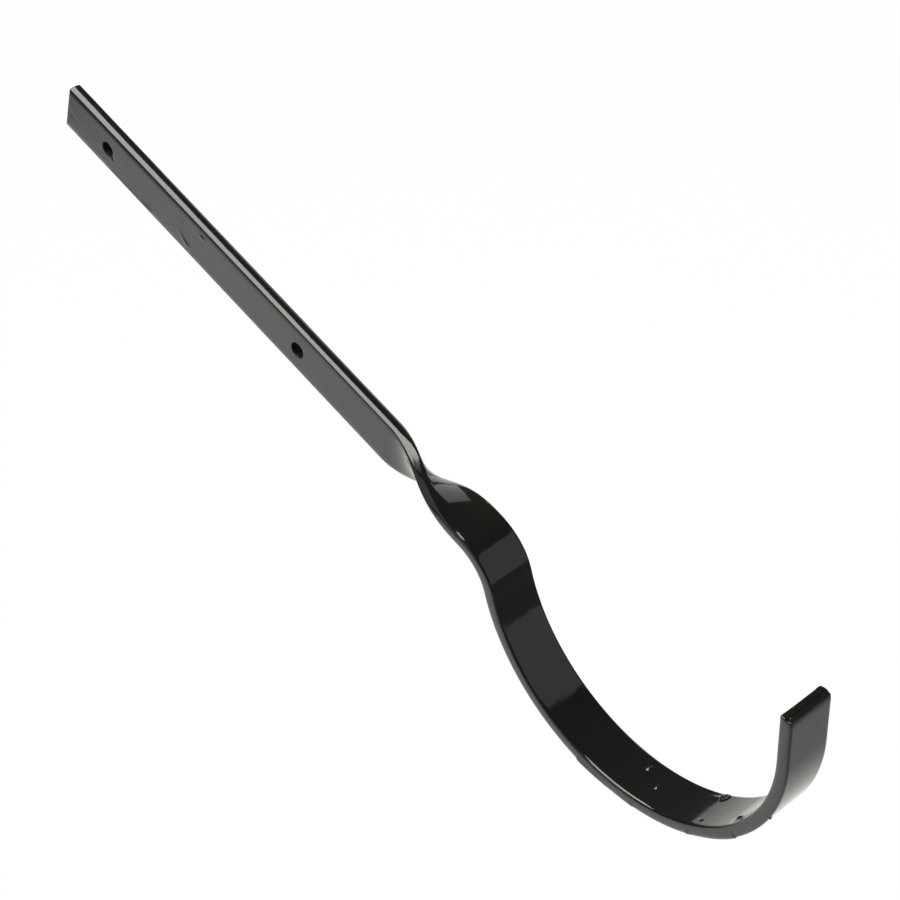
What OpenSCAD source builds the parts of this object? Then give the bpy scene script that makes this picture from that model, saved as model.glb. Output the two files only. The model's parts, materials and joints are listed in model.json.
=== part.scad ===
// Rafter-side gutter bracket: one flat bar, twisted a quarter turn and bent to
// a half-round hook. +X points away from the wall, +Y runs along the gutter and
// +Z is up. The origin is the axis of the gutter seat, at the middle of the hook.

/* [Bar] */
// Width of the flat bar over its paint
bar_w = 20.2; // [16:0.1:30]
// Thickness of the flat bar over its paint
bar_t = 5.2; // [4:0.1:8]
// How far each narrow edge is rounded in from its crown
edge_depth = 1.2; // [0.8:0.1:2]
// Squareness of the narrow edge, where 2 is an ellipse
edge_power = 2.6; // [2:0.1:4]
// How far the paint rounds the rim of the two cut ends
end_round = 0.8; // [0.4:0.1:1.2]

/* [Arm] */
// Length of the straight arm, from its free end to the twist
arm_len = 190; // [180:1:300]
// Downward slope of the arm towards the gutter, in degrees
arm_pitch = 30; // [15:1:45]
// How far the arm stands off the middle plane of the hook
arm_shift = 1.4; // [0:0.1:3]

/* [Screw holes] */
// Diameter of the two screw holes
hole_d = 6.4; // [4:0.1:9]
// Distance from the free end to the first hole
hole_end_gap = 25.8; // [10:0.1:40]
// Distance between the two holes
hole_spacing = 114.1; // [60:0.1:130]

/* [Twist] */
// Length over which the bar turns a quarter turn
twist_len = 45.5; // [30:0.5:70]
// Straight flat length between the twist and the hump
neck_len = 2.5; // [1:0.5:12]

/* [Hook] */
// Inside radius of the hump that turns the bar down
hump_r = 19.8; // [12:0.1:30]
// Angle that the hump turns through, in degrees
hump_turn = 56.3; // [40:0.1:70]
// Diameter of the half-round seat for the gutter
seat_d = 134.5; // [100:0.5:180]
// Angle that the hook turns through, in degrees
hook_turn = 165.5; // [150:0.5:175]
// Straight length at the tip of the hook
tip_len = 19.8; // [8:0.1:35]

/* [Paint drops] */
// Radius of the dried paint drops under the hook
drop_r = 0.9; // [0.5:0.1:1.5]
// How far the drops' centres stand in from the side of the bar
drop_inset = 1.6; // [1.5:0.1:4]
// Angle round the seat from the lowest point to the first drop
drop_first = -6; // [-20:1:5]
// Angle round the seat from each drop to the next
drop_step = 20.5; // [15:0.5:25]
// Number of drops
drop_count = 4; // [1:1:4]

/* [Hidden] */
// Steps along each rounded narrow edge of the section
edge_steps = 10;
// Steps along the twist
twist_steps = 30;
// Steps over each rounded end
end_steps = 4;
// How far the hole cutters pass each face
cut_over = 1;
// Angle by which the two sweeps of a bend pass its middle
sweep_overlap = 1;

half_w = bar_w / 2;
half_t = bar_t / 2;
hook_mid_r = seat_d / 2 + half_t;
hump_mid_r = hump_r + half_t;
// Angle round the seat axis, up from +X, at which the hook leaves the hump
hook_start = 270 - arm_pitch - hump_turn;

function signed_power(value, power) = sign(value) * pow(abs(value), power);

// A length to the nearest 0.0001 mm, so that sections that meet agree to the last digit
function tidy(length) = round(length * 10000) / 10000;

// Outline of the bar drawn in all round by an inset: [across the width, through the thickness]
function bar_outline(inset = 0) =
    let (depth = max(edge_depth - inset, 0.1))
    [
        for (side = [1, -1], step = [0:edge_steps])
            let (angle = -90 + 180 * step / edge_steps)
            side * [
                tidy(half_w - inset - depth + depth * signed_power(cos(angle), 2 / edge_power)),
                tidy((half_t - inset) * signed_power(sin(angle), 2 / edge_power))
            ]
    ];

// Cross-section of the bar at a place along +X. At turn 0 its width stands along Z,
// at turn 90 it lies along Y.
function bar_ring(x, turn, shift = 0, inset = 0) = [
    for (point = bar_outline(inset)) [
        x,
        shift - point[0] * sin(turn) - point[1] * cos(turn),
        point[0] * cos(turn) - point[1] * sin(turn)
    ]
];

// Turn of the section at a share of the twist, easing in and out
function eased(share) = share * share * (3 - 2 * share);

function twist_ring(share) =
    bar_ring(share * twist_len, 90 * eased(share), -arm_shift * (1 - eased(share)));

// Closed skin over a list of rings that all have the same number of points
module skin(rings) {
    count = len(rings[0]);
    last = len(rings) - 1;
    polyhedron(
        points = [for (ring = rings, point = ring) point],
        faces = [
            [for (i = [0:count - 1]) i],
            for (ring = [0:last - 1], i = [0:count - 1])
                let (near = ring * count, far = near + count, next = (i + 1) % count)
                for (triangle = [
                    [near + i, far + i, far + next],
                    [near + i, far + next, near + next]
                ]) triangle,
            [for (i = [count - 1:-1:0]) last * count + i]
        ]
    );
}

// Rim of a cut end, rounded over its last length, with the cut face at x = 0
module rounded_end(turn) {
    skin([
        for (step = [0:end_steps])
            let (angle = 90 * step / end_steps)
            bar_ring(end_round * (1 - cos(angle)), turn, 0, end_round * (1 - sin(angle)))
    ]);
}

// Straight bar along +X, with its width along Y
module flat_bar(length) {
    rotate([90, 0, 90])
        linear_extrude(length)
            polygon(bar_outline());
}

// Bar bent the flat way round the Y axis, from the +X side up through a turn. It is
// swept in from both of its ends, and the two sweeps overlap at the middle of the bend.
module bent_bar(middle_r, turn) {
    for (end = [0, 1])
        rotate([0, -turn * end, 0])
            rotate([90, 0, 0])
                rotate_extrude(angle = (1 - 2 * end) * (turn / 2 + sweep_overlap), $fn = 180)
                    translate([middle_r, 0])
                        rotate(90)
                            polygon(bar_outline());
}

// Straight arm along +X from its free end, with its width along Z and its two screw holes
module arm() {
    rounded_end(0);
    difference() {
        translate([end_round, 0, 0])
            rotate([90, 0, 0])
                flat_bar(arm_len - end_round);
        for (hole_x = [hole_end_gap, hole_end_gap + hole_spacing])
            translate([hole_x, half_t + cut_over, 0])
                rotate([90, 0, 0])
                    cylinder(h = bar_t + 2 * cut_over, d = hole_d, $fn = 64);
    }
}

// Everything on the arm's own line, along +X up to the start of the hump at the origin
module arm_and_twist() {
    translate([-neck_len - twist_len - arm_len, 0, 0]) {
        translate([0, -arm_shift, 0])
            arm();
        translate([arm_len, 0, 0])
            skin([for (step = [0:twist_steps]) twist_ring(step / twist_steps)]);
        translate([arm_len + twist_len, 0, 0])
            flat_bar(neck_len);
    }
}

// Straight tip along +X from the end of the hook
module tip() {
    flat_bar(tip_len - end_round);
    translate([tip_len, 0, 0])
        mirror([1, 0, 0])
            rounded_end(90);
}

// Drops of paint that dried under the hook, along the side of the bar
module paint_drops() {
    for (drop = [0:drop_count - 1])
        rotate([0, -(270 + drop_first + drop * drop_step), 0])
            translate([hook_mid_r + half_t, drop_inset - half_w, 0])
                sphere(r = drop_r, $fn = 12);
}

module bracket() {
    color("#1c1c1b") {
        rotate([0, -hook_start, 0]) {
            bent_bar(hook_mid_r, hook_turn);
            rotate([0, -hook_turn, 0])
                translate([hook_mid_r, 0, 0])
                    rotate([0, -90, 0])
                        tip();
            translate([hook_mid_r + hump_mid_r, 0, 0])
                rotate([0, 180, 0]) {
                    bent_bar(hump_mid_r, hump_turn);
                    rotate([0, -hump_turn, 0])
                        translate([hump_mid_r, 0, 0])
                            rotate([0, 90, 0])
                                arm_and_twist();
                }
        }
        paint_drops();
    }
}

bracket();
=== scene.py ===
"""Rafter-side gutter bracket: one black dip-painted flat bar, in a white studio.

The paint's surface is one skin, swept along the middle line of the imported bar: arm,
quarter twist, short flat neck, hump, half-round hook and straight tip. Points on it are
first laid out in bar coordinates, in millimetres: the distance along the bar, the place
across its width and the place through its thickness. Sags, drips and bubbles are raised
there, and only then is the bar twisted and bent into the row frame.
"""
import json
import math

import bmesh
import bpy
import numpy as np
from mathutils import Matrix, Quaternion, Vector, noise


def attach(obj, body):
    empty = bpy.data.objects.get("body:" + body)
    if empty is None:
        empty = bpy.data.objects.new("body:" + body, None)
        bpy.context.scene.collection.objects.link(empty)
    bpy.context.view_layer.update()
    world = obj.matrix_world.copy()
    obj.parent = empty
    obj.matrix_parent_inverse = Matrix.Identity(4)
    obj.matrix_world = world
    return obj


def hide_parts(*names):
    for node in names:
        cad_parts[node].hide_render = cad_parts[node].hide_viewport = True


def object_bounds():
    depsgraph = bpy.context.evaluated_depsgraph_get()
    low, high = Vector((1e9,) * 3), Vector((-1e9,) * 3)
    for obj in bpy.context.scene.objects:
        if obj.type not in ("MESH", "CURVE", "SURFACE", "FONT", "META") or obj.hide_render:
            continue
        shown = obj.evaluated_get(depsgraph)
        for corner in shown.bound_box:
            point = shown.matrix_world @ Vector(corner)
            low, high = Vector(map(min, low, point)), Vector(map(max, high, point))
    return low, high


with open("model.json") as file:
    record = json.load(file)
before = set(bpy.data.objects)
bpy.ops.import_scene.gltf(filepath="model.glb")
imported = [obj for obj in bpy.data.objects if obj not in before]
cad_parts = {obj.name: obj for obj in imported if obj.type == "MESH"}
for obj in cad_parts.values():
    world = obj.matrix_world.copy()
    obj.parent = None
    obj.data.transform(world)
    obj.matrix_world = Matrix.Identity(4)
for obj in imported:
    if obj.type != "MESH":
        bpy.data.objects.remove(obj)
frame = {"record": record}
cad_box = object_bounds()
mounts = {mount["name"]: mount for mount in frame["record"]["mounts"]}

MM = 0.001

# ---- The bar, in millimetres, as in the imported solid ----
BAR_W = 20.2
BAR_T = mounts["screw_hole_upper"]["dims"]["length_mm"]
EDGE_DEPTH = 1.2
EDGE_POWER = 2.6
HOOK_EDGE_POWER = 3.3
END_ROUND = 0.8
ARM_LEN = 190.0
ARM_PITCH = 30.0
ARM_SHIFT = 1.4
TWIST_LEN = 45.5
NECK_LEN = 2.5
HUMP_R = 19.8
HUMP_TURN = 56.3
SEAT_R = mounts["gutter_seat"]["dims"]["r_mm"]
HOOK_TURN = 165.5
TIP_LEN = 19.8
HOLE_R = mounts["screw_hole_upper"]["dims"]["r_mm"]
HOLE_END_GAP = 25.8
HOLE_SPACING = 1000 * math.dist(
    mounts["screw_hole_upper"]["pos_m"], mounts["screw_hole_lower"]["pos_m"]
)

HALF_W = BAR_W / 2
HALF_T = BAR_T / 2
HUMP_MID_R = HUMP_R + HALF_T
HOOK_MID_R = SEAT_R + HALF_T
HOOK_START = 270 - ARM_PITCH - HUMP_TURN

# Each stretch of the middle line: its length, and how far it turns upwards in degrees
STRETCHES = [
    (ARM_LEN + TWIST_LEN + NECK_LEN, 0.0),
    (math.radians(HUMP_TURN) * HUMP_MID_R, -HUMP_TURN),
    (math.radians(HOOK_TURN) * HOOK_MID_R, HOOK_TURN),
    (TIP_LEN, 0.0),
]
HUMP_AT = STRETCHES[0][0]
HOOK_AT = HUMP_AT + STRETCHES[1][0]
TIP_AT = HOOK_AT + STRETCHES[2][0]
BAR_LEN = TIP_AT + TIP_LEN

# ---- The skin's mesh, in millimetres where it is a length ----
FACE_CELLS = 36
EDGE_CELLS = 14
CELL = 2 * (HALF_W - EDGE_DEPTH) / FACE_CELLS
HOLE_CELLS = 11
HOLE_SQUARE = HOLE_CELLS * CELL
HOLE_RIM = 0.35
HOLE_PAINT = 0.3
END_STEPS = 5
# The rings of an end face, as shares of the way out from its middle line
END_RINGS = (0.82, 0.6, 0.38, 0.18, 0.0)
TIP_ROUND = 0.5
# The distance between rings where the paint has no marks
COARSE = 1.2

# ---- The paint, in millimetres ----
# The skin starts a little inside the solid, so that its relief stays within it
PAINT_INSET = 0.03
# The wide faces fall away from this far across, up to the hook
SHOULDER_AT = 7.0
SHOULDER_DROP = 0.10
SHOULDER_END = HUMP_AT + 12.0
# How far the section takes to change from the arm's to the hook's
EASE_LEN = 15.0
# Long soft waves, drawn out along the bar, and finer ripples
WAVE_SIZE = 11.0
WAVE_SQUEEZE = 0.6
WAVE_HEIGHT = 0.045
RIPPLE_SIZE = 3.6
RIPPLE_HEIGHT = 0.008
# A run on the hook's lower edge: its step's length, its reach and its place through the bar
RUN_STEP = 1.1
RUN_REACH = 2.0
RIM_THROUGH = 1.9
# The free end's slanted cut, as a slope, and how far along the bar it fades
ASKEW = 0.04
ASKEW_LEN = 12.0
# How far the paint is drawn out at the tip, how much more at its corner, and over what length
DRAWN_OUT = 1.0
DRAWN_CORNER = 0.5
DRAWN_LEN = 5.0
# The tip's outer side drops towards its end
LIP_DROP = 0.28
LIP_LEN = 2.4

# ---- The studio, in metres ----
FLOOR_Z = -0.42
FLOOR_R = 12.0
ROOM_R = 4.0
POOL_CENTRE = (-0.72, -0.02, FLOOR_Z)
STUDIO_TINT = (1.0, 1.0, 0.955, 1.0)
WALL_TINT = (0.98, 0.98, 1.02, 1.0)
CARD_STEPS = 16
LIT_CARD_R = 1.5
SOFTBOX_CENTRE = (-0.4, -0.165, 1.15)
SOFTBOX_TURN = -9
SOFTBOX_SIZE = (1.11, 1.25)


# ---------------------------------------------------------------- the bar's line


def walk(along):
    """Place (x, z) and heading of the middle line, from an arm that starts at (0, 0)."""
    x = np.zeros_like(along)
    z = np.zeros_like(along)
    heading = math.radians(-ARM_PITCH)
    angle = np.full_like(along, heading)
    start = 0.0
    for index, (length, turn) in enumerate(STRETCHES):
        low = -np.inf if index == 0 else 0.0
        high = np.inf if index == len(STRETCHES) - 1 else length
        local = np.clip(along - start, low, high)
        if turn:
            rate = math.radians(turn) / length
            x += (np.sin(heading + rate * local) - math.sin(heading)) / rate
            z += (math.cos(heading) - np.cos(heading + rate * local)) / rate
            angle += rate * local
            heading += math.radians(turn)
        else:
            x += local * math.cos(heading)
            z += local * math.sin(heading)
        start += length
    return x, z, angle


def seat_axis_on_walk():
    """Where the gutter seat's axis lies, measured from the arm's free end."""
    x, z, angle = walk(np.array([HOOK_AT]))
    return x[0] - HOOK_MID_R * math.sin(angle[0]), z[0] + HOOK_MID_R * math.cos(angle[0])


def to_row_frame(points):
    """Bar coordinates to the row frame, whose origin is the gutter seat's axis."""
    along, across, through = points.T
    x, z, heading = walk(along)
    seat_x, seat_z = seat_axis_on_walk()
    share = np.clip((along - ARM_LEN) / TWIST_LEN, 0, 1)
    eased = share * share * (3 - 2 * share)
    turn = np.radians(90 * eased)
    sideways = -ARM_SHIFT * (1 - eased) - across * np.sin(turn) - through * np.cos(turn)
    upwards = across * np.cos(turn) - through * np.sin(turn)
    return np.stack(
        [
            x - seat_x - upwards * np.sin(heading),
            sideways,
            z - seat_z + upwards * np.cos(heading),
        ],
        axis=1,
    )


def hook_place(angle):
    """Distance along the bar of an angle round the seat, in degrees up from +X."""
    return HOOK_AT + math.radians(angle - HOOK_START) * HOOK_MID_R


# ---------------------------------------------------------------- the bar's section


def signed_power(value, power):
    return np.sign(value) * np.abs(value) ** power


def edge_power(along):
    """How square the paint's edges are: the hook's are a little squarer than the arm's."""
    share = min(max((along - ARM_LEN - TWIST_LEN) / EASE_LEN, 0), 1)
    return EDGE_POWER + (HOOK_EDGE_POWER - EDGE_POWER) * share


def outline(power, inset=0.0):
    """The section's points anticlockwise, from the underside's upper-edge corner."""
    depth = EDGE_DEPTH - inset
    angle = np.radians(np.linspace(-90, 90, EDGE_CELLS + 1))
    flat = HALF_W - EDGE_DEPTH
    edge = np.stack(
        [
            flat + depth * signed_power(np.cos(angle), 2 / power),
            (HALF_T - inset) * signed_power(np.sin(angle), 2 / power),
        ],
        axis=1,
    )
    across = np.linspace(flat, -flat, FACE_CELLS + 1)[1:-1]
    face = np.stack([across, np.full_like(across, HALF_T - inset)], axis=1)
    half = np.concatenate([edge, face])
    return np.concatenate([half, -half])


def outline_normals(power):
    """Outward directions at the section's points."""
    points = outline(power)
    step = np.roll(points, -1, axis=0) - np.roll(points, 1, axis=0)
    normal = np.stack([step[:, 1], -step[:, 0]], axis=1)
    return normal / np.linalg.norm(normal, axis=1)[:, None]


# ---------------------------------------------------------------- the skin


class Skin:
    """Points in bar coordinates, the way out of the paint at each, and the faces."""

    def __init__(self):
        self.points = []
        self.ways = []
        self.faces = []

    def ring(self, points, ways):
        """Adds a ring of points and returns their numbers."""
        first = len(self.points)
        self.points.extend(np.asarray(points, float).tolist())
        self.ways.extend(np.asarray(ways, float).tolist())
        return list(range(first, len(self.points)))

    def join(self, near, far, skip=()):
        """Faces between two closed rings of equal length."""
        count = len(near)
        for i in range(count):
            if i in skip:
                continue
            j = (i + 1) % count
            self.faces.append((near[i], near[j], far[j], far[i]))


def stations():
    """Distances along the bar at which it has a ring: closer where the paint has more detail."""
    first_hole = HOLE_END_GAP
    second_hole = HOLE_END_GAP + HOLE_SPACING
    marks = [
        (END_ROUND, None),
        (first_hole - HOLE_SQUARE, COARSE),
        (first_hole + HOLE_SQUARE, CELL),
        (second_hole - HOLE_SQUARE, COARSE),
        (second_hole + HOLE_SQUARE, CELL),
        (ARM_LEN - 10, COARSE),
        (HUMP_AT, 0.7),
        (HOOK_AT, 0.6),
        (hook_place(252), 0.8),
        (hook_place(330), 0.42),
        (TIP_AT, 0.7),
        (BAR_LEN - TIP_ROUND, 0.5),
    ]
    places = [marks[0][0]]
    for (start, _), (end, spacing) in zip(marks, marks[1:]):
        count = round((end - start) / spacing)
        places.extend(np.linspace(start, end, count + 1)[1:].tolist())
    return np.array(places)


def ring_at(skin, along):
    points = outline(edge_power(along))
    ways = outline_normals(edge_power(along))
    column = np.full((len(points), 1), along)
    return skin.ring(np.hstack([column, points]), np.hstack([0 * column, ways]))


def close_end(skin, last, base, outward, rounding):
    """Rounds the rim of a cut end at base and closes its face. outward is -1 or +1."""
    power = edge_power(base)
    ways = outline_normals(power)
    rings = [last]
    for step in range(1, END_STEPS + 1):
        angle = math.radians(90 * step / END_STEPS)
        points = outline(power, rounding * (1 - math.cos(angle)))
        along = np.full((len(points), 1), base + outward * rounding * math.sin(angle))
        way = np.hstack([np.full_like(along, outward * math.sin(angle)), ways * math.cos(angle)])
        rings.append(skin.ring(np.hstack([along, points]), way))
    rim = outline(power, rounding)
    spine = HALF_W - HALF_T
    middle = np.stack([np.clip(rim[:, 0], -spine, spine), 0 * rim[:, 1]], axis=1)
    for share in END_RINGS:
        points = middle + (rim - middle) * share
        along = np.full((len(points), 1), base + outward * rounding)
        way = np.hstack([0 * along + outward, 0 * points])
        rings.append(skin.ring(np.hstack([along, points]), way))
    for near, far in zip(rings, rings[1:]):
        if outward > 0:
            skin.join(near, far)
        else:
            skin.join(far, near)


def drill(skin, rings, row, columns, radius):
    """Replaces a square of cells in both wide faces by a round hole with soft rims."""
    size = 2 * HOLE_CELLS
    loops = []
    for side in columns:
        corner = [
            *[rings[row + i][side[0]] for i in range(size)],
            *[rings[row + size][side[j]] for j in range(size)],
            *[rings[row + size - i][side[size]] for i in range(size)],
            *[rings[row][side[size - j]] for j in range(size)],
        ]
        loops.append(corner)
    border = np.array([skin.points[i] for i in loops[0]])
    centre = np.array([(border[:, 0].min() + border[:, 0].max()) / 2, 0.0])
    spread = border[:, :2] - centre
    round_way = spread / np.linalg.norm(spread, axis=1)[:, None]
    flat_rim = radius + HOLE_RIM
    profile = []
    for share in (0.3, 0.55, 0.75, 0.9, 1.0):
        profile.append((share, flat_rim, HALF_T, 90.0))
    for angle in (67.5, 45.0, 22.5, 0.0):
        sunk = HOLE_RIM * (1 - math.sin(math.radians(angle)))
        drop = HOLE_RIM * (1 - math.cos(math.radians(angle)))
        profile.append((1.0, flat_rim - HOLE_RIM + drop, HALF_T - sunk, angle))
    for depth in (0.55, 0.2):
        profile.append((1.0, radius, HALF_T * depth, 0.0))
    mirrored = []
    for share, reach, height, angle in reversed(profile):
        mirrored.append((share, reach, -height, -angle))
    chain = [loops[0]]
    for share, reach, height, angle in profile + mirrored:
        plane = centre + spread * (1 - share) + round_way * reach * share
        rise = math.sin(math.radians(angle))
        level = np.full((len(plane), 1), height)
        way = np.hstack([-round_way * math.cos(math.radians(angle)), 0 * level + rise])
        chain.append(skin.ring(np.hstack([plane, level]), way))
    chain.append(loops[1])
    for near, far in zip(chain, chain[1:]):
        skin.join(near, far)


def make_skin():
    """The whole bar's skin in bar coordinates."""
    skin = Skin()
    places = stations()
    rings = [ring_at(skin, along) for along in places]
    count = len(rings[0])
    top = [EDGE_CELLS + cell for cell in range(FACE_CELLS + 1)]
    bottom = [(index + count // 2) % count for index in top]
    middle = FACE_CELLS // 2
    # Both faces' columns run from the lower edge to the upper edge
    near_columns = top[middle - HOLE_CELLS : middle + HOLE_CELLS + 1][::-1]
    far_columns = bottom[middle - HOLE_CELLS : middle + HOLE_CELLS + 1]
    open_cells = set(near_columns[1:]) | set(far_columns[:-1])
    holed_rows = {}
    for hole_at in (HOLE_END_GAP, HOLE_END_GAP + HOLE_SPACING):
        row = int(np.argmin(np.abs(places - (hole_at - HOLE_SQUARE))))
        holed_rows[row] = range(row, row + 2 * HOLE_CELLS)
    open_rows = {row for rows in holed_rows.values() for row in rows}
    for index, (near, far) in enumerate(zip(rings, rings[1:])):
        skin.join(near, far, skip=open_cells if index in open_rows else ())
    # The upper hole is the smaller one: it holds more paint
    for row, radius in zip(holed_rows, (HOLE_R - HOLE_PAINT, HOLE_R)):
        drill(skin, rings, row, (near_columns, far_columns), radius)
    close_end(skin, rings[0], END_ROUND, -1, END_ROUND)
    close_end(skin, rings[-1], BAR_LEN - TIP_ROUND, 1, TIP_ROUND)
    return skin


# ---------------------------------------------------------------- the paint's relief


def dome(points, centre, reach, height, power=1.5):
    """A smooth bump over an ellipsoid round a centre, all in bar coordinates."""
    distance = np.linalg.norm((points - np.array(centre)) / np.array(reach), axis=1)
    return height * np.clip(1 - distance**2, 0, None) ** power


def bubble(points, centre, radius, height):
    """A burst bubble: a raised ring round a shallow pit."""
    distance = np.linalg.norm(points - np.array(centre), axis=1) / radius
    rim = np.exp(-(((distance - 0.72) / 0.2) ** 2))
    pit = np.clip(1 - (distance / 0.5) ** 2, 0, None)
    return height * (rim - 0.15 * pit)


def run(points, start, end, height):
    """A run of paint on the lower edge: a sharp step at its start, which fades to its end."""
    share = (points[:, 0] - hook_place(start)) / (hook_place(end) - hook_place(start))
    length = abs(hook_place(end) - hook_place(start))
    profile = np.clip(share * length / RUN_STEP, 0, 1) * np.clip(1 - share, 0, 1)
    side = np.hypot(points[:, 1] - HALF_W + 0.4, points[:, 2] - RIM_THROUGH)
    return height * profile * np.clip(1 - (side / RUN_REACH) ** 2, 0, 1)


def ridge(points, path, width, height):
    """A low run of paint along a path of points, which thins towards its start."""
    best = np.zeros(len(points))
    path = np.array(path, float)
    steps = len(path) - 1
    for index, (start, end) in enumerate(zip(path, path[1:])):
        leg = end - start
        share = np.clip(((points - start) @ leg) / (leg @ leg), 0, 1)
        distance = np.linalg.norm(points - start - share[:, None] * leg, axis=1)
        strength = 0.35 + 0.65 * (index + share) / steps
        best = np.maximum(best, strength * np.exp(-((distance / width) ** 2)))
    return height * best


def drips(points):
    """Runs and a drip that dried along the lower side of the hook."""
    raised = run(points, 240.3, 255.0, 0.45)
    raised += run(points, 263.6, 256.0, 0.25)
    raised += run(points, 283.6, 287.0, 0.35)
    raised += run(points, 306.5, 291.0, 0.45)
    raised += dome(points, (hook_place(325.5), HALF_W - 1.0, HALF_T), (0.7, 0.8, 1.2), 0.6, 1.2)
    return raised


def bubbles(points):
    """Bubbles and blobs in the paint on the hook's inner face."""
    raised = bubble(points, (hook_place(288.2), -7.7, -HALF_T), 2.2, 0.42)
    raised += dome(points, (hook_place(258.6), -4.7, -HALF_T), (0.8, 1.5, 1.2), 0.42)
    raised += dome(points, (hook_place(265.8), 0.3, -HALF_T), (0.7, 1.3, 1.0), 0.35)
    raised += dome(points, (hook_place(308.5), 6.0, -HALF_T), (2.0, 1.6, 1.4), 0.85)
    raised += ridge(
        points,
        [(hook_place(305.9), 4.6, -HALF_T), (hook_place(307.6), 5.7, -HALF_T)],
        0.5,
        0.25,
    )
    raised += ridge(
        points,
        [(hook_place(283.0), -6.6, -HALF_T), (hook_place(286.4), -7.0, -HALF_T)],
        0.8,
        0.3,
    )
    raised += dome(points, (hook_place(240.5), HALF_W - 0.9, -RIM_THROUGH), (0.7, 0.8, 0.9), 0.2)
    raised += dome(points, (hook_place(289.8), 6.4, -HALF_T), (1.4, 0.8, 1.0), 0.28)
    raised += dome(points, (hook_place(293.4), -1.5, -HALF_T), (0.8, 0.6, 0.8), 0.15)
    raised += dome(points, (hook_place(294.7), 4.6, -HALF_T), (0.8, 0.6, 0.8), 0.14)
    raised += dome(points, (hook_place(277.6), -7.7, -HALF_T), (1.2, 0.8, 1.0), 0.2)
    return raised


def arm_marks(points):
    """Sags, nibs and dents in the paint on the arm's near face."""
    raised = ridge(
        points,
        [(70.6, 3.0, HALF_T), (70.2, -2.6, HALF_T), (72.7, -4.3, HALF_T), (76.0, -5.7, HALF_T)],
        0.7,
        0.26,
    )
    raised += dome(points, (75.4, -5.9, HALF_T), (1.6, 0.9, 1.2), 0.14)
    raised += dome(points, (82.6, 5.5, HALF_T), (1.5, 1.1, 1.2), 0.34)
    raised -= dome(points, (HOLE_END_GAP + 3.1, -1.9, HALF_T), (0.9, 0.8, 0.8), 0.35)
    raised += dome(points, (143.3, HALF_W, RIM_THROUGH), (1.2, 1.0, 1.0), 0.05)
    raised -= ridge(points, [(1.3, -0.2, HALF_T), (4.1, -2.2, HALF_T)], 0.4, 0.15)
    return raised


def tip_bead(points):
    """The bead of paint at the tip's far corner, and its soft outer rim."""
    raised = dome(points, (BAR_LEN, -HALF_W + 1.2, -0.6), (2.6, 2.6, 3.0), 0.2, 1.0)
    reach = np.clip((points[:, 0] - BAR_LEN + LIP_LEN) / LIP_LEN, 0, 1)
    return raised - np.where(points[:, 2] > 0, LIP_DROP, 0) * reach**2


def stretched_ends(points):
    """Bar coordinates with the free end's cut a little askew and the tip's paint drawn out."""
    along, across, through = points.T
    askew = ASKEW * (HALF_W - across) * np.clip(1 - along / ASKEW_LEN, 0, 1)
    late = np.clip((along - BAR_LEN + DRAWN_LEN) / DRAWN_LEN, 0, 1) ** 2
    corner = np.clip(across / HALF_W, 0, 1) ** 4 * np.clip(-through / HALF_T, 0, 1)
    drawn = (DRAWN_OUT + DRAWN_CORNER * corner) * late
    return np.stack([along + askew + drawn, across, through], axis=1)


def shoulders(points):
    """How far the wide faces fall away towards their edges, on the arm and the twist."""
    reach = (np.abs(points[:, 1]) - SHOULDER_AT) / (HALF_W - EDGE_DEPTH - SHOULDER_AT)
    wide = np.abs(points[:, 2]) > HALF_T * 0.98
    before_hook = np.clip((SHOULDER_END - points[:, 0]) / EASE_LEN, 0, 1)
    return np.where(wide, SHOULDER_DROP, 0) * before_hook * np.clip(reach, 0, 1) ** 2


def waves(points, places):
    """Uneven thickness of the dipped paint: long soft waves and finer ripples."""
    raised = np.empty(len(points))
    for index, (along, across, through) in enumerate(points):
        wave = noise.noise(Vector((along * WAVE_SQUEEZE, across, through)) / WAVE_SIZE)
        ripple = noise.noise(Vector(places[index]) / RIPPLE_SIZE)
        raised[index] = WAVE_HEIGHT * wave + RIPPLE_HEIGHT * ripple
    return raised


def painted(skin):
    """The skin's points in the row frame, in millimetres, with the paint's relief."""
    points = np.array(skin.points)
    ways = np.array(skin.ways)
    raised = waves(points, to_row_frame(points)) - PAINT_INSET - shoulders(points)
    raised += drips(points) + bubbles(points) + arm_marks(points) + tip_bead(points)
    placed = to_row_frame(stretched_ends(points + ways * raised[:, None]))
    low, high = np.array(cad_box) / MM
    return np.clip(placed, low, high)


def make_bar():
    skin = make_skin()
    mesh = bpy.data.meshes.new("painted_bar")
    mesh.from_pydata((painted(skin) * MM).tolist(), [], skin.faces)
    mesh.update()
    weld(mesh)
    for face in mesh.polygons:
        face.use_smooth = True
    bar = bpy.data.objects.new("painted_bar", mesh)
    bpy.context.scene.collection.objects.link(bar)
    return bar


def weld(mesh):
    """Merges the points that meet on the end faces' middle lines."""
    work = bmesh.new()
    work.from_mesh(mesh)
    bmesh.ops.remove_doubles(work, verts=work.verts, dist=0.01 * MM)
    bmesh.ops.dissolve_degenerate(work, edges=work.edges, dist=0.001 * MM)
    work.to_mesh(mesh)
    work.free()


# ---------------------------------------------------------------- materials


def new_material(name):
    material = bpy.data.materials.new(name)
    material.use_nodes = True
    material.node_tree.nodes.clear()
    return material, material.node_tree


def add_node(tree, kind, **values):
    """A node with its settings and constant inputs given by name."""
    node = tree.nodes.new(kind)
    sockets = {socket.name.lower().replace(" ", "_"): socket for socket in node.inputs}
    for name, value in values.items():
        if name in sockets:
            sockets[name].default_value = value
        else:
            setattr(node, name, value)
    return node


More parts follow.
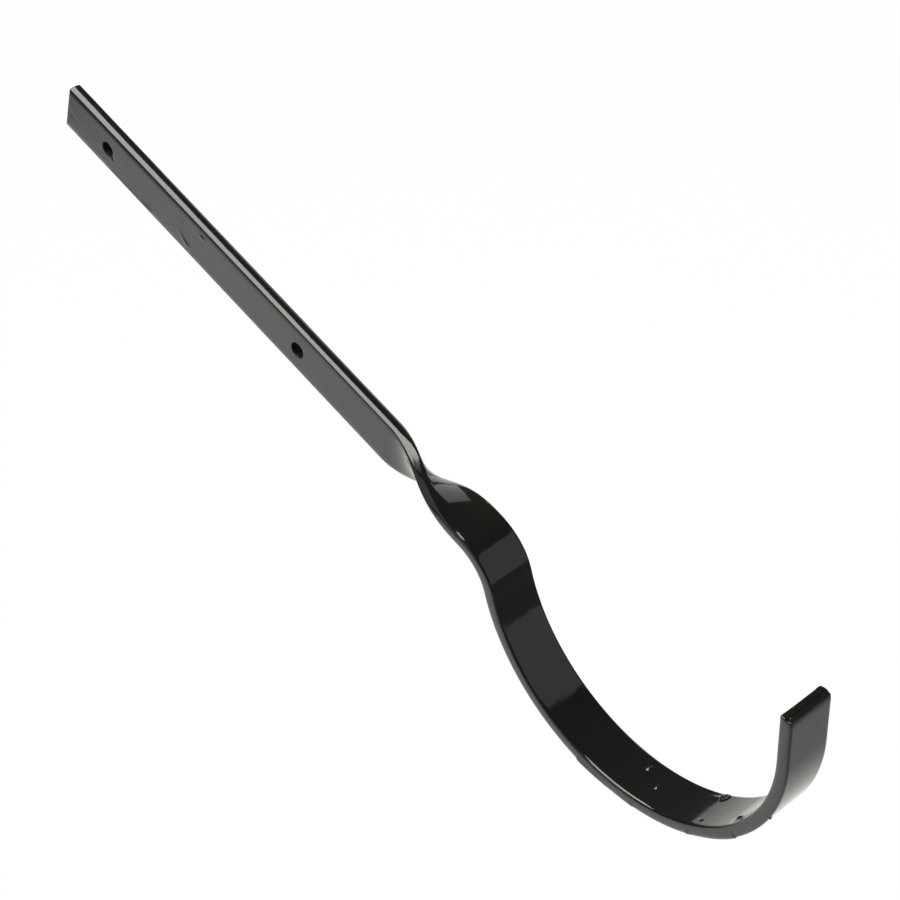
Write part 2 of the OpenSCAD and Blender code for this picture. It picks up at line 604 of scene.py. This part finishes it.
def object_noise(tree, scale, detail, roughness=0.5):
    """Noise that keeps to the object, with its scale in features per metre."""
    place = add_node(tree, "ShaderNodeTexCoord")
    texture = add_node(
        tree, "ShaderNodeTexNoise", scale=scale, detail=detail, roughness=roughness
    )
    tree.links.new(place.outputs["Object"], texture.inputs["Vector"])
    return texture.outputs["Fac"]


def remap(tree, value, low, high, to_low, to_high):
    """A value's range from low to high spread over a new range, clamped."""
    node = add_node(tree, "ShaderNodeMapRange")
    tree.links.new(value, node.inputs["Value"])
    node.inputs["From Min"].default_value = low
    node.inputs["From Max"].default_value = high
    node.inputs["To Min"].default_value = to_low
    node.inputs["To Max"].default_value = to_high
    return node.outputs["Result"]


def mix_colours(tree, factor, first, second):
    """Two colours mixed by a factor, each given as numbers or as an output."""
    node = add_node(tree, "ShaderNodeMix", data_type="RGBA")
    tree.links.new(factor, node.inputs["Factor"])
    for socket, colour in ((node.inputs[6], first), (node.inputs[7], second)):
        if isinstance(colour, tuple):
            socket.default_value = (*colour, 1)
        else:
            tree.links.new(colour, socket)
    return node.outputs[2]


def mix_shaders(tree, share, first, second):
    """The first shader where share is 0 and the second where it is 1."""
    node = add_node(tree, "ShaderNodeMixShader")
    tree.links.new(share, node.inputs[0])
    tree.links.new(first.outputs[0], node.inputs[1])
    tree.links.new(second.outputs[0], node.inputs[2])
    return node


def in_bores(tree):
    """1 inside the screw holes and 0 elsewhere."""
    place = add_node(tree, "ShaderNodeTexCoord")
    flat = add_node(tree, "ShaderNodeVectorMath", operation="MULTIPLY")
    tree.links.new(place.outputs["Object"], flat.inputs[0])
    flat.inputs[1].default_value = (1, 0, 1)
    nearest = None
    for name in ("screw_hole_upper", "screw_hole_lower"):
        x, _, z = mounts[name]["pos_m"]
        reach = add_node(tree, "ShaderNodeVectorMath", operation="DISTANCE")
        tree.links.new(flat.outputs[0], reach.inputs[0])
        reach.inputs[1].default_value = (x, 0, z)
        if nearest is None:
            nearest = reach.outputs["Value"]
            continue
        smaller = add_node(tree, "ShaderNodeMath", operation="MINIMUM")
        tree.links.new(nearest, smaller.inputs[0])
        tree.links.new(reach.outputs["Value"], smaller.inputs[1])
        nearest = smaller.outputs[0]
    return remap(tree, nearest, HOLE_R * MM, (HOLE_R + 0.2) * MM, 1, 0)


def arm_patch(tree, along, across, reach, height):
    """1 in a patch on the arm's near face and 0 elsewhere.

    The patch is placed in millimetres from the upper screw hole.
    """
    start = Vector(mounts["screw_hole_upper"]["pos_m"])
    way = (Vector(mounts["screw_hole_lower"]["pos_m"]) - start).normalized()
    up = Vector((-way.z, 0, way.x))
    centre = start + (way * along + up * across) * MM + Vector((0, -HALF_T * MM, 0))
    place = add_node(tree, "ShaderNodeTexCoord")
    local = add_node(tree, "ShaderNodeVectorMath", operation="SUBTRACT")
    tree.links.new(place.outputs["Object"], local.inputs[0])
    local.inputs[1].default_value = centre
    joined = add_node(tree, "ShaderNodeCombineXYZ")
    for index, axis in enumerate((way / reach, up / height, Vector((0, 1, 0)))):
        part = add_node(tree, "ShaderNodeVectorMath", operation="DOT_PRODUCT")
        tree.links.new(local.outputs[0], part.inputs[0])
        part.inputs[1].default_value = axis / MM
        tree.links.new(part.outputs["Value"], joined.inputs[index])
    distance = add_node(tree, "ShaderNodeVectorMath", operation="LENGTH")
    tree.links.new(joined.outputs[0], distance.inputs[0])
    return remap(tree, distance.outputs["Value"], 0.75, 1.05, 1, 0)


def largest(tree, values):
    """The largest of several outputs at each point."""
    total = values[0]
    for value in values[1:]:
        node = add_node(tree, "ShaderNodeMath", operation="MAXIMUM")
        tree.links.new(total, node.inputs[0])
        tree.links.new(value, node.inputs[1])
        total = node.outputs[0]
    return total


def mix_values(tree, share, first, second):
    """Two values mixed by a share, each given as a number or as an output."""
    node = add_node(tree, "ShaderNodeMix", data_type="FLOAT")
    tree.links.new(share, node.inputs[0])
    for socket, value in ((node.inputs[2], first), (node.inputs[3], second)):
        if isinstance(value, float):
            socket.default_value = value
        else:
            tree.links.new(value, socket)
    return node.outputs[0]


def black_paint():
    """Thick glossy black dip paint: uneven gloss, orange peel, and brown where it is thin."""
    material, tree = new_material("black_dip_paint")
    shader = add_node(tree, "ShaderNodeBsdfPrincipled", ior=1.5)
    out = add_node(tree, "ShaderNodeOutputMaterial")
    tree.links.new(shader.outputs["BSDF"], out.inputs["Surface"])

    thin = remap(tree, object_noise(tree, 45, 4), 0.56, 0.74, 0, 1)
    base = mix_colours(tree, thin, (0.0088, 0.0085, 0.0074), (0.015, 0.012, 0.009))
    dirt = largest(tree, [arm_patch(tree, 15, -8.1, 14, 0.9), arm_patch(tree, 26, -7.4, 3.8, 1.2)])
    rusty = arm_patch(tree, 17.5, -8.2, 6, 0.9)
    base = mix_colours(tree, rusty, base, (0.03, 0.022, 0.009))
    tree.links.new(base, shader.inputs["Base Color"])
    # Duller paint where the arm has dirt, and painted shade in the screw holes: their bores
    # reflect less, so that they stay dark
    dirt_and_bore_shade = largest(tree, [dirt, in_bores(tree)])
    tree.links.new(mix_values(tree, dirt_and_bore_shade, 0.5, 0.2), shader.inputs["Specular IOR Level"])

    gloss = remap(tree, object_noise(tree, 120, 6, 0.6), 0.3, 0.75, 0.06, 0.13)
    tree.links.new(mix_values(tree, in_bores(tree), gloss, 0.6), shader.inputs["Roughness"])

    peel = add_node(tree, "ShaderNodeBump", strength=0.5, distance=0.00002)
    tree.links.new(object_noise(tree, 420, 2), peel.inputs["Height"])
    nibs = add_node(tree, "ShaderNodeBump", strength=0.12, distance=0.00003)
    specks = remap(tree, object_noise(tree, 1500, 1), 0.66, 0.8, 0, 1)
    tree.links.new(specks, nibs.inputs["Height"])
    tree.links.new(peel.outputs["Normal"], nibs.inputs["Normal"])
    tree.links.new(nibs.outputs["Normal"], shader.inputs["Normal"])
    return material


def seen_directly(tree):
    """1 for camera, glossy and transmission rays, 0 for the rest."""
    path = add_node(tree, "ShaderNodeLightPath")
    names = ("Is Camera Ray", "Is Glossy Ray", "Is Transmission Ray")
    return largest(tree, [path.outputs[name] for name in names])


def pool_of_light(tree):
    """The floor's level as the gloss sees it: bright under the lamp, and dim far from it."""
    place = add_node(tree, "ShaderNodeTexCoord")
    reach = add_node(tree, "ShaderNodeVectorMath", operation="DISTANCE")
    tree.links.new(place.outputs["Object"], reach.inputs[0])
    reach.inputs[1].default_value = POOL_CENTRE
    level = remap(tree, reach.outputs["Value"], 0.6, 1.42, 1.25, 0.22)
    level.node.interpolation_type = "SMOOTHSTEP"
    return level


def white_floor():
    """White paper that looks evenly white, and still takes the part's shadow."""
    material, tree = new_material("white_floor")
    paper = add_node(tree, "ShaderNodeBsdfDiffuse", color=(0.88, 0.88, 0.88, 1))
    white = add_node(tree, "ShaderNodeEmission", color=(1, 1, 1, 1), strength=1.02)
    lit = mix_shaders(tree, remap(tree, seen_directly(tree), 0, 1, 0, 0.96), paper, white)
    pool = add_node(tree, "ShaderNodeEmission", color=STUDIO_TINT)
    tree.links.new(pool_of_light(tree), pool.inputs["Strength"])
    path = add_node(tree, "ShaderNodeLightPath")
    glossed = mix_shaders(tree, path.outputs["Is Glossy Ray"], lit, pool)
    # From below the floor is clear, so that the underside can be looked at
    below = add_node(tree, "ShaderNodeNewGeometry").outputs["Backfacing"]
    clear = add_node(tree, "ShaderNodeBsdfTransparent")
    whole = mix_shaders(tree, below, glossed, clear)
    out = add_node(tree, "ShaderNodeOutputMaterial")
    tree.links.new(whole.outputs[0], out.inputs["Surface"])
    return material


def glowing(name, level, tint=STUDIO_TINT):
    """An even grey or white card that shows its own level whatever the light."""
    material, tree = new_material(name)
    card = add_node(tree, "ShaderNodeEmission", color=tint, strength=level)
    out = add_node(tree, "ShaderNodeOutputMaterial")
    tree.links.new(card.outputs[0], out.inputs["Surface"])
    material.cycles.emission_sampling = "NONE"
    return material


# ---------------------------------------------------------------- the studio


def add_stage(name, points, faces, material):
    mesh = bpy.data.meshes.new(name)
    mesh.from_pydata(points, [], faces)
    mesh.materials.append(material)
    piece = bpy.data.objects.new(name, mesh)
    bpy.context.scene.collection.objects.link(piece)
    return piece


def make_floor():
    """A wide white floor, well below the part, which hangs on its mount."""
    count = 64
    points = []
    for i in range(count):
        angle = 2 * math.pi * i / count
        points.append((FLOOR_R * math.cos(angle), FLOOR_R * math.sin(angle), FLOOR_Z))
    add_stage("floor", points, [tuple(range(count))], white_floor())


def make_room():
    """The unlit studio round the part: a dim dome down to the floor, hidden from the camera."""
    around, up = 48, 12
    points = []
    for row in range(up + 1):
        height = math.radians(90 * row / up)
        for i in range(around):
            angle = 2 * math.pi * i / around
            points.append(
                (
                    ROOM_R * math.cos(height) * math.cos(angle),
                    ROOM_R * math.cos(height) * math.sin(angle),
                    FLOOR_Z + ROOM_R * math.sin(height),
                )
            )
    faces = []
    for row in range(up):
        for i in range(around):
            j = (i + 1) % around
            low, high = row * around, (row + 1) * around
            faces.append((low + i, high + i, high + j, low + j))
    room = add_stage("room", points, faces, glowing("dim_room", 0.1))
    room.visible_camera = False


def add_card(name, reach, profile, level, tint=STUDIO_TINT):
    """A curved card that only the gloss sees.

    The profile gives its lower and upper height at angles round the part, up from +X.
    """
    angles, lows, highs = np.array(profile, float).T
    around = np.linspace(angles[0], angles[-1], CARD_STEPS + 1)
    points = []
    for heights in (lows, highs):
        for angle, height in zip(np.radians(around), np.interp(around, angles, heights)):
            points.append((reach * math.cos(angle), reach * math.sin(angle), height))
    row = CARD_STEPS + 1
    faces = [(i, i + 1, row + i + 1, row + i) for i in range(CARD_STEPS)]
    add_unseen(name, points, faces, level, tint)


def add_unseen(name, points, faces, level, tint=STUDIO_TINT):
    """A card of an even level, which neither the camera nor the light on the paint sees."""
    card = add_stage(name, points, faces, glowing(name, level, tint))
    card.visible_camera = False
    card.visible_diffuse = False


def make_cards():
    """What the gloss shows round the part: sweep, lit card, dark gap, grey wall and front card."""
    low = FLOOR_Z
    sweep = [
        (101, low, -0.23),
        (120, low, -0.01),
        (128, low, 0.05),
        (138, low, 0.07),
        (146, low, 0.28),
        (195, low, 0.28),
    ]
    add_card("white_sweep", 1.55, sweep, 1.1)
    corners = [(92, -0.06), (128, 0.10), (105.5, 1.54), (80.5, 0.90)]
    points = []
    for angle, height in corners:
        way = math.radians(angle)
        points.append((LIT_CARD_R * math.cos(way), LIT_CARD_R * math.sin(way), height))
    add_unseen("lit_card", points, [(0, 1, 2, 3)], 1.35)
    gap = [(50, low, 0.22), (84, low, 0.2), (94, low, -0.1), (113, low, -0.3)]
    add_card("dark_card", 1.1, gap, 0.12)
    wall = [(0, low, 1.55), (48, low, 1.55)]
    add_card("grey_wall", 2.1, wall, 0.72, WALL_TINT)
    add_card("front_card", 1.33, [(241, -0.2, 1.3), (270, -0.2, 1.3)], 0.75)


def add_softbox(name, level):
    """A rectangular sheet of light above the part, which faces down, at an even level."""
    width, depth = SOFTBOX_SIZE
    data = bpy.data.lights.new(name, "AREA")
    data.shape = "RECTANGLE"
    data.size = width
    data.size_y = depth
    # An area lamp's level is its energy over four times its area
    data.energy = 4 * width * depth * level
    data.color = STUDIO_TINT[:3]
    lamp = bpy.data.objects.new(name, data)
    lamp.location = SOFTBOX_CENTRE
    lamp.rotation_euler = (0, 0, math.radians(SOFTBOX_TURN))
    lamp.visible_camera = False
    bpy.context.scene.collection.objects.link(lamp)
    return lamp


def make_lights():
    """One softbox overhead: its face, which only the gloss shows, and its plain light."""
    face = add_softbox("softbox_face", 6.5)
    face.visible_diffuse = False
    light = add_softbox("softbox_light", 3.4)
    light.visible_glossy = False


def make_world():
    """White to the camera and in the gloss; the dim room hides it from the part."""
    world = bpy.data.worlds.new("studio")
    world.use_nodes = True
    tree = world.node_tree
    tree.nodes.clear()
    dim = add_node(tree, "ShaderNodeBackground", color=(1, 1, 1, 1), strength=0.3)
    white = add_node(tree, "ShaderNodeBackground", color=(1, 1, 1, 1), strength=1.0)
    mixed = add_node(tree, "ShaderNodeMixShader")
    tree.links.new(seen_directly(tree), mixed.inputs[0])
    tree.links.new(dim.outputs[0], mixed.inputs[1])
    tree.links.new(white.outputs[0], mixed.inputs[2])
    out = add_node(tree, "ShaderNodeOutputWorld")
    tree.links.new(mixed.outputs[0], out.inputs["Surface"])
    bpy.context.scene.world = world


def make_camera():
    """A long lens, high and to the +X side in front of the arm's near face, rolled a little."""
    azimuth = math.radians(53.007)
    elevation = math.radians(32.155)
    roll = math.radians(10.272)
    target = Vector((-0.1262, 0.0274, 0.0159))
    distance = 1.0
    back = Vector(
        (
            math.sin(azimuth) * math.cos(elevation),
            -math.cos(azimuth) * math.cos(elevation),
            math.sin(elevation),
        )
    )
    data = bpy.data.cameras.new("camera")
    data.sensor_width = 36
    data.lens = 106.94
    camera = bpy.data.objects.new("camera", data)
    camera.location = target + back * distance
    camera.rotation_mode = "QUATERNION"
    camera.rotation_quaternion = (-back).to_track_quat("-Z", "Y") @ Quaternion((0, 0, 1), -roll)
    bpy.context.scene.collection.objects.link(camera)
    bpy.context.scene.camera = camera


# ---------------------------------------------------------------- the scene

make_camera()
make_world()
make_floor()
make_room()
make_cards()
make_lights()

bar = make_bar()
bar.data.materials.append(black_paint())
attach(bar, "root")
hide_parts("bracket")

bpy.context.scene.view_settings.view_transform = "Standard"
